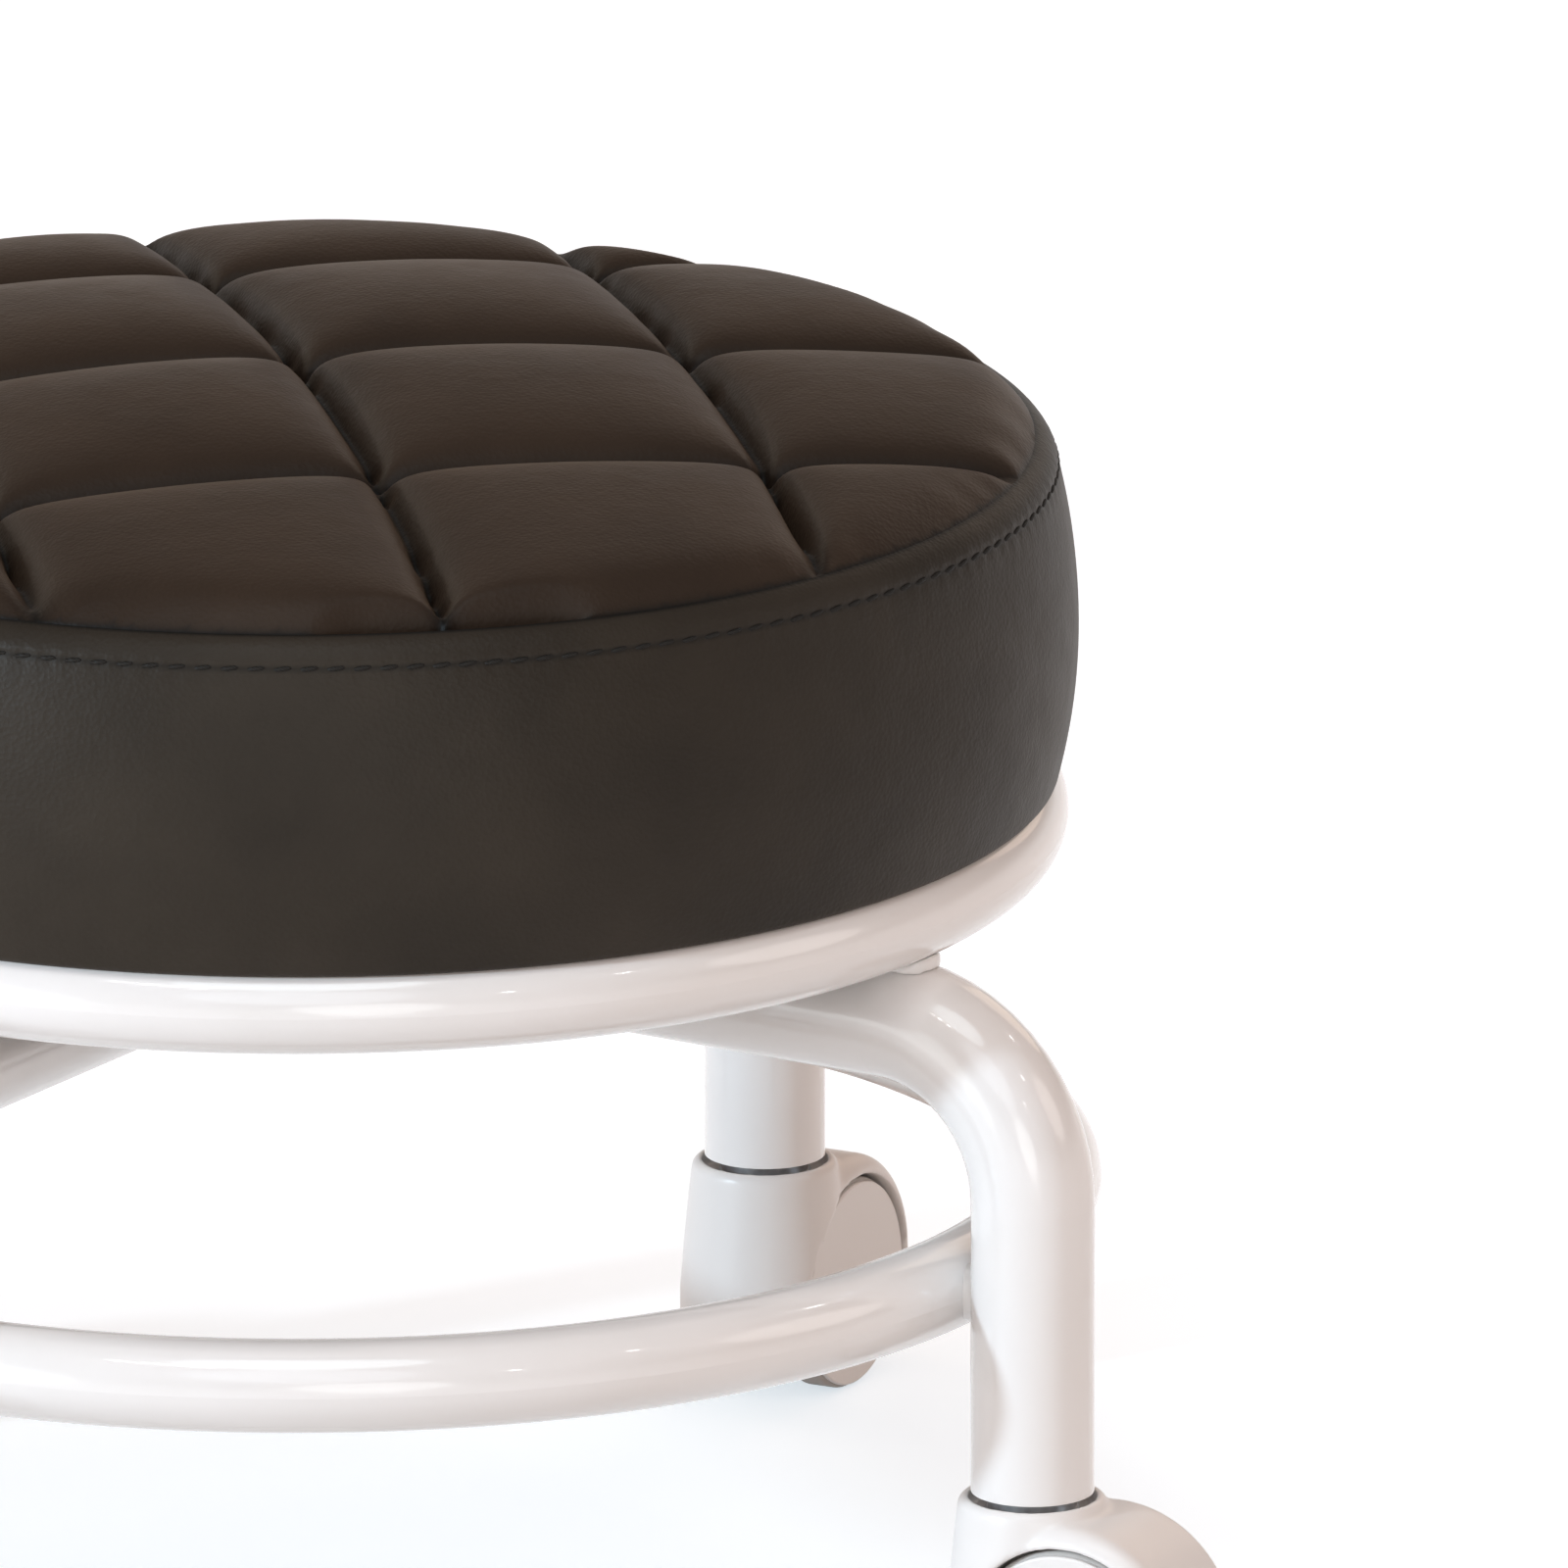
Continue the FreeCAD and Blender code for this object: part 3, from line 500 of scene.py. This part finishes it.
def makeQuiltedTop():
    sheet = cutRoundSheet()
    floorHeight = boardHigh.z + quilt["drop"]
    sewn = []
    heldDown = sheet.vertex_groups.new(name="heldDown")
    for vertex in sheet.data.vertices:
        x, y = vertex.co.x, vertex.co.y
        radius = math.hypot(x, y)
        onTop = vertex.co.z > -quilt["sheetDepth"] / 2
        onRim = radius > seamRadius - quilt["onRim"]
        if onTop:
            vertex.co.z = topHeight(x, y)
        else:
            vertex.co = (x - x / radius * quilt["inset"], y - y / radius * quilt["inset"], floorHeight)
        gap = sewnGap(x, y)
        if not onTop or onRim or gap < quilt["onLine"]:
            sewn.append(vertex.index)
        elif gap < quilt["heldWidth"]:
            held = quilt["heldShare"] * (1 - gap / quilt["heldWidth"])
            heldDown.add([vertex.index], held, "REPLACE")
    heldDown.add(sewn, 1.0, "REPLACE")
    swell(sheet)
    applyModifier(sheet, "SMOOTH", factor=0.5, iterations=quilt["settling"],
                  vertex_group="heldDown", invert_vertex_group=True)
    sewnDown = set(sewn)
    creases = sheet.data.attributes.new("crease_edge", "FLOAT", "EDGE")
    for edge in sheet.data.edges:
        creases.data[edge.index].value = 1.0 if sewnDown.issuperset(edge.vertices) else 0.0
    applyModifier(sheet, "SUBSURF", levels=2, render_levels=2)
    # painted shade: darker in the grooves along the sewn lines and at the rim, kept as the sewn attribute
    # for the leather
    marks = []
    for vertex in sheet.data.vertices:
        x, y = vertex.co.x, vertex.co.y
        lineShade = math.exp(-(sewnGap(x, y) / quilt["lineShade"]) ** quilt["lineShadePower"])
        rimShade = math.exp(-abs(seamRadius - math.hypot(x, y)) / quilt["rimShade"])
        marks.append(max(lineShade, rimShade))
    addAttribute(sheet, "sewn", marks)
    smoothShade(sheet, 60)
    sheet.data.materials.append(topLeatherShadedCopy)
    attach(sheet, "frame")
    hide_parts("quilted_panel", "seat_foam")
    return sheet


quiltedTop = makeQuiltedTop()
print("quilted top:", len(quiltedTop.data.polygons), "faces")


# Side band: a turned skin with a rolled seam, a sewn-down stitch row, a bulge and a hem

band = {
    "stitchRadius": 0.1530,
    "stitchHeight": 0.2404,
    "stitchDip": 0.0004,
    "dipAbove": (0.4, 0.0009),     # share of the dip, and height from the stitches
    "dipBelow": (1.2, -0.0011),
    "rollBulge": 0.0008,
    "rollSteps": 7,
    "footRadius": 0.1536,
    "footHeight": 0.1776,
    "sideBulge": 0.0039,
    "sideSteps": 24,
    "footBulge": 0.0005,
    "footSteps": 4,
    "lip": (0.0056, 0.00155),      # out from the ring's middle, and down from its top
    "lipBulge": -0.0004,
    "lipSteps": 5,
    "hemRadius": 0.124,
    "hemHeight": 0.178,
    "innerWall": (0.0025, 0.005),  # out from the seam, and down from it
    "innerBulge": 0.9,             # as a share of the side's
    "innerSteps": 8,
    "seamWall": (0.0001, 0.0018),
    "stitches": 181,
    "stepsPerStitch": 4,
    "skinGap": 0.0002,             # outer skin: this far outside the board
    "seamZone": 0.003,             # or this near the seam's height
    "pucker": 0.00012,
    "puckerReach": 0.0024,
    "slack": 0.0004,
    "slackScale": (22, 22, 30),
    # painted shade: widths of the dark in the seam groove and along the stitch row
    "seamShade": 0.0005,
    "seamShadeZone": 0.002,
    "stitchShade": 0.55,
    "stitchShadeReach": 0.0006,
}


def arcPoints(start, end, bulge, steps):
    # points after start on an arc that stands off its chord by bulge, to the left going from start to end
    start, end = Vector(start), Vector(end)
    chord = end - start
    normal = Vector((-chord.y, chord.x)).normalized()
    radius = (chord.length ** 2 / 4 + bulge ** 2) / (2 * bulge)
    centre = (start + end) / 2 + normal * (bulge - radius)
    first = math.atan2(start.y - centre.y, start.x - centre.x)
    last = math.atan2(end.y - centre.y, end.x - centre.x)
    sweep = (last - first + math.pi) % fullTurn - math.pi
    angles = [first + sweep * step / steps for step in range(1, steps + 1)]
    return [centre + Vector((math.cos(a), math.sin(a))) * abs(radius) for a in angles]


def drawOutline(name, points):
    # a chain of edges in the XZ plane, extruded point by point
    deselectAll()
    bpy.ops.mesh.primitive_plane_add(size=0.001, location=(points[0].x, 0, points[0].y))
    piece = nameActive(name)
    applyPlace(piece)
    editMode()
    bpy.ops.mesh.select_all(action="SELECT")
    bpy.ops.mesh.merge(type="CENTER")
    for before, after in zip(points, points[1:]):
        step = (after.x - before.x, 0, after.y - before.y)
        bpy.ops.mesh.extrude_region_move(TRANSFORM_OT_translate={"value": step})
    objectMode()
    return piece


def spinOutline(piece, steps):
    makeActive(piece)
    editMode()
    bpy.ops.mesh.select_all(action="SELECT")
    bpy.ops.mesh.spin(steps=steps, angle=fullTurn, center=(0, 0, 0), axis=(0, 0, 1))
    objectMode()
    mergeAndFaceOut(piece)


def bandOutline():
    seam = Vector((seamRadius, seamHeight))
    stitch = Vector((band["stitchRadius"], band["stitchHeight"]))
    above = stitch + Vector((band["stitchDip"] * band["dipAbove"][0], band["dipAbove"][1]))
    below = stitch + Vector((band["stitchDip"] * band["dipBelow"][0], band["dipBelow"][1]))
    foot = Vector((band["footRadius"], band["footHeight"]))
    ringLow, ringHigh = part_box("seat_ring")
    ringRadius = ringHigh.x - (ringHigh.z - ringLow.z) / 2
    lip = Vector((ringRadius + band["lip"][0], ringHigh.z - band["lip"][1]))
    ringTop = Vector((ringRadius, band["hemHeight"]))
    hem = Vector((band["hemRadius"], band["hemHeight"]))
    hemInside = Vector((band["hemRadius"], boardLow.z))
    boardRadius = boardHigh.x
    points = [seam]
    points += arcPoints(seam, above, band["rollBulge"], band["rollSteps"])
    points += [stitch, below]
    points += arcPoints(below, foot, band["sideBulge"], band["sideSteps"])
    points += arcPoints(foot, lip, band["footBulge"], band["footSteps"])
    points += arcPoints(lip, ringTop, band["lipBulge"], band["lipSteps"])
    points += [hem, hemInside, Vector((boardRadius, boardLow.z)), Vector((boardRadius, boardHigh.z))]
    inner = Vector((seamRadius + band["innerWall"][0], seamHeight - band["innerWall"][1]))
    points += arcPoints(points[-1], inner, -band["sideBulge"] * band["innerBulge"], band["innerSteps"])
    points += [Vector((seamRadius + band["seamWall"][0], seamHeight - band["seamWall"][1])), seam]
    return points


def makeSideBand():
    piece = drawOutline("sideBand", bandOutline())
    spinOutline(piece, band["stitches"] * band["stepsPerStitch"])
    marks = []
    scaleX, scaleY, scaleZ = band["slackScale"]
    sideHeight = seamHeight - band["footHeight"]
    for vertex in piece.data.vertices:
        x, y, z = vertex.co
        radius = math.hypot(x, y)
        turn = math.atan2(y, x)
        fromStitch = z - band["stitchHeight"]
        outside = radius > boardHigh.x + band["skinGap"] or z > seamHeight - band["seamZone"]
        near = math.exp(-(fromStitch / band["puckerReach"]) ** 2)
        pull = band["pucker"] * near * math.cos(turn * band["stitches"])
        side = max(0.0, math.sin(math.pi * (z - band["footHeight"]) / sideHeight))
        wave = band["slack"] * side * noise.noise(Vector((x * scaleX, y * scaleY, z * scaleZ)))
        if outside and band["footHeight"] < z:
            vertex.co.x += x / radius * (wave - pull)
            vertex.co.y += y / radius * (wave - pull)
        # painted shade: darker in the seam groove at the band's top and in the dip of the stitch row, kept
        # as the sewn attribute
        seamPaintedShade = 0.0
        if z > seamHeight - band["seamShadeZone"]:
            seamPaintedShade = math.exp(-abs(radius - seamRadius) / band["seamShade"])
        stitchPaintedShade = band["stitchShade"] * math.exp(-(fromStitch / band["stitchShadeReach"]) ** 2)
        marks.append(max(seamPaintedShade, stitchPaintedShade))
    addAttribute(piece, "sewn", marks)
    smoothShade(piece, 50)
    piece.data.materials.append(bandLeatherCoolLitCopy)
    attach(piece, "frame")
    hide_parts("cover_band")
    return piece


sideBand = makeSideBand()
print("side band:", len(sideBand.data.polygons), "faces")


# Topstitching: short threads in a row round the band

stitching = {
    "length": 0.0041,
    "width": 0.00095,
    "height": 0.0008,
    "dive": 0.0005,     # how far a thread's ends go in
    "bluntness": 0.7,   # a smaller power makes the ends blunter
    "lift": 0.00015,
    "slant": 9,
}


def makeStitching():
    deselectAll()
    bpy.ops.mesh.primitive_uv_sphere_add(segments=8, ring_count=6, radius=0.5)
    piece = nameActive("topStitching")
    piece.rotation_euler = (math.radians(90), 0, 0)
    applyPlace(piece)
    for vertex in piece.data.vertices:   # a flat-ended thread that dives in at both ends
        along = vertex.co.y * 2
        vertex.co.x = vertex.co.x * stitching["height"] - stitching["dive"] * along ** 4
        vertex.co.z = vertex.co.z * stitching["width"]
        blunt = math.copysign(abs(along) ** stitching["bluntness"], along)
        vertex.co.y = stitching["length"] / 2 * blunt
    piece.rotation_euler = (math.radians(stitching["slant"]), 0, 0)
    piece.location = (band["stitchRadius"] + stitching["lift"], 0, band["stitchHeight"])
    applyPlace(piece)
    editMode()
    bpy.ops.mesh.select_all(action="SELECT")
    copies = band["stitches"] - 1
    bpy.ops.mesh.spin(steps=copies, dupli=True, angle=fullTurn * copies / band["stitches"],
                      center=(0, 0, 0), axis=(0, 0, 1))
    objectMode()
    smoothShade(piece, 80)
    piece.data.materials.append(thread)
    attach(piece, "frame")
    return piece


stitchRow = makeStitching()
print("topstitching:", len(stitchRow.data.polygons), "faces")


# Lining cloth under the seat, stretched over the board and sagging a little in the middle

liningSize = {
    "edges": 144,
    "rings": 9,
    "sag": 0.0009,
    "sagRadius": 0.096,    # outside this it lies flat
    "ripple": 0.3,         # as a share of the sag
    "rippleScale": 40,
    "thickness": 0.0004,
    "lift": 0.0004,
}


def makeLining():
    low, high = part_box("base_lining")
    radius = high.x
    deselectAll()
    bpy.ops.mesh.primitive_circle_add(vertices=liningSize["edges"], radius=radius, fill_type="NGON",
                                      location=(0, 0, low.z + liningSize["lift"]))
    cloth = nameActive("liningSheet")
    applyPlace(cloth)
    editMode("FACE")
    bpy.ops.mesh.select_all(action="SELECT")
    for ring in range(liningSize["rings"]):
        bpy.ops.mesh.inset(thickness=radius / (liningSize["rings"] + 1))
    objectMode()
    for vertex in cloth.data.vertices:
        reach = math.hypot(vertex.co.x, vertex.co.y) / liningSize["sagRadius"]
        if reach < 1:
            spot = Vector((vertex.co.x, vertex.co.y, 0)) * liningSize["rippleScale"]
            ripple = liningSize["ripple"] * noise.noise(spot)
            vertex.co.z -= liningSize["sag"] * (1 - reach ** 2) * (1 + ripple)
    applyModifier(cloth, "SOLIDIFY", thickness=liningSize["thickness"], offset=0)
    applyModifier(cloth, "SUBSURF", levels=1, render_levels=1)
    smoothShade(cloth, 60)
    cloth.data.materials.append(lining)
    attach(cloth, "frame")
    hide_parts("base_lining")
    return cloth


liningSheet = makeLining()
print("lining:", len(liningSheet.data.polygons), "faces")


# Pieces made from a solid, with its edges run soft

def softCopy(node, name, settings, finish, turn=0.0):
    piece = bpy.data.objects.new(name, nodes[node].data.copy())
    bpy.context.scene.collection.objects.link(piece)
    piece.rotation_euler = (0, 0, turn)
    applyPlace(piece)
    mergeAndFaceOut(piece)
    applyModifier(piece, "REMESH", mode="VOXEL", voxel_size=settings["voxel"], adaptivity=0)
    applyModifier(piece, "SMOOTH", factor=0.5, iterations=settings["smoothing"])
    piece.data.materials.clear()
    piece.data.materials.append(finish)
    return piece


# Caster housings: made once and copied round

housing = {"voxel": 0.0006, "smoothing": 12, "firstAngle": -39}


def makeHousings():
    firstTurn = math.radians(-housing["firstAngle"])
    mould = softCopy("front_right_caster_housing", "housingMould", housing, hoodPlastic, firstTurn)
    for number, corner in enumerate(corners):
        turn = math.radians(housing["firstAngle"] + 90 * number)
        piece = bpy.data.objects.new(corner + "_hood", mould.data.copy())
        bpy.context.scene.collection.objects.link(piece)
        piece.data.transform(Matrix.Rotation(turn, 4, "Z"))
        smoothShade(piece, 40)
        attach(piece, corner + "_caster")
        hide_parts(corner + "_caster_housing")
    faces = len(mould.data.polygons)
    bpy.data.objects.remove(mould)
    return faces


print("caster housings:", makeHousings(), "faces each")


# Welds between the legs and the seat ring

seatWeld = {"voxel": 0.0005, "smoothing": 14}


def makeSeatWelds():
    beads = softCopy("seat_ring_welds", "seatWelds", seatWeld, whitePaint)
    smoothShade(beads, 60)
    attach(beads, "frame")
    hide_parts("seat_ring_welds")
    return len(beads.data.polygons)


print("seat welds:", makeSeatWelds(), "faces")


# Stage: camera, floor, world and lamps

viewpoint = {
    "azimuth": -12.6,
    "elevation": 15.9,
    "distance": 10.0,
    "frameWidth": 0.3187,
    "target": (0.1023, 0.0098, 0.1639),
    "sensor": 36.0,
    "clipEnd": 60,
}


def viewDirection(azimuth, elevation):
    a, e = math.radians(azimuth), math.radians(elevation)
    return Vector((math.sin(a) * math.cos(e), -math.cos(a) * math.cos(e), math.sin(e)))


def addCamera():
    back = viewDirection(viewpoint["azimuth"], viewpoint["elevation"])
    place = Vector(viewpoint["target"]) + back * viewpoint["distance"]
    bpy.ops.object.camera_add(location=place, rotation=back.to_track_quat("Z", "Y").to_euler())
    camera = nameActive("photoCamera")
    camera.data.sensor_width = viewpoint["sensor"]
    camera.data.lens = viewpoint["sensor"] * viewpoint["distance"] / viewpoint["frameWidth"]
    camera.data.clip_end = viewpoint["clipEnd"]
    bpy.context.scene.camera = camera


floorLook = {
    "radius": 3.0,
    "colour": (0.70, 0.69, 0.68, 1),
    "roughness": 0.9,
    "specular": 0.1,
    "glow": (0.83, 0.93, 1.0, 1),
    "glowStrength": 0.67,
}


def seenRay(tree):
    # one for rays that show the backdrop: from the camera, in gloss and through glass
    path = tree.nodes.new("ShaderNodeLightPath")
    total = None
    for name in ("Is Camera Ray", "Is Glossy Ray", "Is Transmission Ray"):
        if total is None:
            total = path.outputs[name]
            continue
        larger = tree.nodes.new("ShaderNodeMath")
        larger.operation = "MAXIMUM"
        tree.links.new(total, larger.inputs[0])
        tree.links.new(path.outputs[name], larger.inputs[1])
        total = larger.outputs[0]
    return total


def addFloor():
    deselectAll()
    bpy.ops.mesh.primitive_circle_add(vertices=128, radius=floorLook["radius"], fill_type="NGON")
    floor = nameActive("studioFloor")
    material = newMaterial("paleFloor")
    tree = material.node_tree
    shader = shaderOf(material)
    shader.inputs["Base Color"].default_value = floorLook["colour"]
    shader.inputs["Roughness"].default_value = floorLook["roughness"]
    shader.inputs["Specular IOR Level"].default_value = floorLook["specular"]
    shader.inputs["Emission Color"].default_value = floorLook["glow"]
    strength = tree.nodes.new("ShaderNodeMath")
    strength.operation = "MULTIPLY"
    strength.inputs[1].default_value = floorLook["glowStrength"]
    tree.links.new(seenRay(tree), strength.inputs[0])
    tree.links.new(strength.outputs[0], shader.inputs["Emission Strength"])
    floor.data.materials.append(material)


worldLook = {
    "fill": (1.0, 0.665, 0.52, 1),
    "strength": 0.42,
    "horizon": (1, 1, 1, 1),        # the backdrop, from the floor line up
    "above": (0.24, 0.25, 0.25, 1),
    "fadeStart": 0.03,
    "fadeEnd": 0.2,
}


def addWorld():
    world = bpy.data.worlds.new("studioWorld")
    bpy.context.scene.world = world
    world.use_nodes = True
    tree = world.node_tree
    fill = tree.nodes["Background"]
    fill.inputs["Color"].default_value = worldLook["fill"]
    fill.inputs["Strength"].default_value = worldLook["strength"]
    direction = tree.nodes.new("ShaderNodeTexCoord")
    height = tree.nodes.new("ShaderNodeSeparateXYZ")
    fade = tree.nodes.new("ShaderNodeValToRGB")
    fade.color_ramp.elements[0].position = worldLook["fadeStart"]
    fade.color_ramp.elements[1].position = worldLook["fadeEnd"]
    fade.color_ramp.elements[0].color = worldLook["horizon"]
    fade.color_ramp.elements[1].color = worldLook["above"]
    backdrop = tree.nodes.new("ShaderNodeBackground")
    mix = tree.nodes.new("ShaderNodeMixShader")
    tree.links.new(direction.outputs["Generated"], height.inputs[0])
    tree.links.new(height.outputs["Z"], fade.inputs["Fac"])
    tree.links.new(fade.outputs["Color"], backdrop.inputs["Color"])
    tree.links.new(seenRay(tree), mix.inputs["Fac"])
    tree.links.new(fill.outputs[0], mix.inputs[1])
    tree.links.new(backdrop.outputs[0], mix.inputs[2])
    tree.links.new(mix.outputs[0], tree.nodes["World Output"].inputs["Surface"])


# azimuth from the camera: 0 is behind it and plus is to its right; a lamp with no colour is white
lamps = {
    "keyLamp": {"azimuth": -58.5, "elevation": 15, "distance": 6, "size": 0.3, "power": 195,
                "colour": (0.69, 0.865, 1.0)},
    "leftLow": {"azimuth": -48, "elevation": 6, "distance": 2.6, "size": 1.6, "power": 10,
                "colour": (0.9, 0.98, 1.0)},
    "leftSoftbox": {"azimuth": -95, "elevation": 12, "distance": 2.6, "size": 1.2, "power": 6,
                    "colour": (1.0, 0.9, 0.94)},
    "leftBack": {"azimuth": -130, "elevation": 30, "distance": 2.6, "size": 1.2, "power": 5,
                 "colour": (1.0, 0.9, 0.71)},
    "topSoftbox": {"azimuth": 0, "elevation": 65, "distance": 2.6, "size": 1.2, "power": 11,
                   "colour": (0.82, 0.945, 1.0)},
    "frontSoftbox": {"azimuth": 0, "elevation": 35, "distance": 2.6, "size": 1.4, "power": 7,
                     "colour": (0.8, 0.9, 1.0)},
    "frontLow": {"azimuth": 10, "elevation": 8, "distance": 2.6, "size": 1.0, "power": 6,
                 "colour": (0.95, 1.0, 1.0)},
    "rightSoftbox": {"azimuth": 80, "elevation": 25, "distance": 2.6, "size": 1.2, "power": 6,
                     "colour": (1.0, 0.94, 0.9)},
    "warmRim": {"azimuth": 150, "elevation": 26, "distance": 2.6, "size": 1.4, "power": 5,
                "colour": (1.0, 0.8, 0.65)},
    "spotA": {"azimuth": -38, "elevation": 58, "distance": 2.4, "size": 0.09, "power": 0.45},
    "spotB": {"azimuth": -31, "elevation": 57, "distance": 2.4, "size": 0.09, "power": 0.45},
    "spotC": {"azimuth": -25, "elevation": 56, "distance": 2.4, "size": 0.09, "power": 0.45},
    "spotD": {"azimuth": -19, "elevation": 54, "distance": 2.4, "size": 0.09, "power": 0.45},
    "spotE": {"azimuth": 56, "elevation": 41, "distance": 2.4, "size": 0.09, "power": 0.45},
    "spotF": {"azimuth": 106, "elevation": 47, "distance": 2.4, "size": 0.1, "power": 0.45},
    "spotG": {"azimuth": 32, "elevation": 29, "distance": 2.4, "size": 0.09, "power": 0.35},
}


def addLamps():
    for name, lamp in lamps.items():
        toward = viewDirection(viewpoint["azimuth"] + lamp["azimuth"], lamp["elevation"])
        middle = (cadLow + cadHigh) / 2
        bpy.ops.object.light_add(type="AREA", location=middle + toward * lamp["distance"],
                                 rotation=toward.to_track_quat("Z", "Y").to_euler())
        light = nameActive(name)
        light.data.shape = "DISK"
        light.data.size = lamp["size"]
        light.data.energy = lamp["power"]
        light.data.color = lamp.get("colour", (1, 1, 1))


deselectAll()
addCamera()
addFloor()
addWorld()
addLamps()
bpy.context.scene.view_settings.view_transform = "Standard"
print("stage:", len(lamps), "lamps")
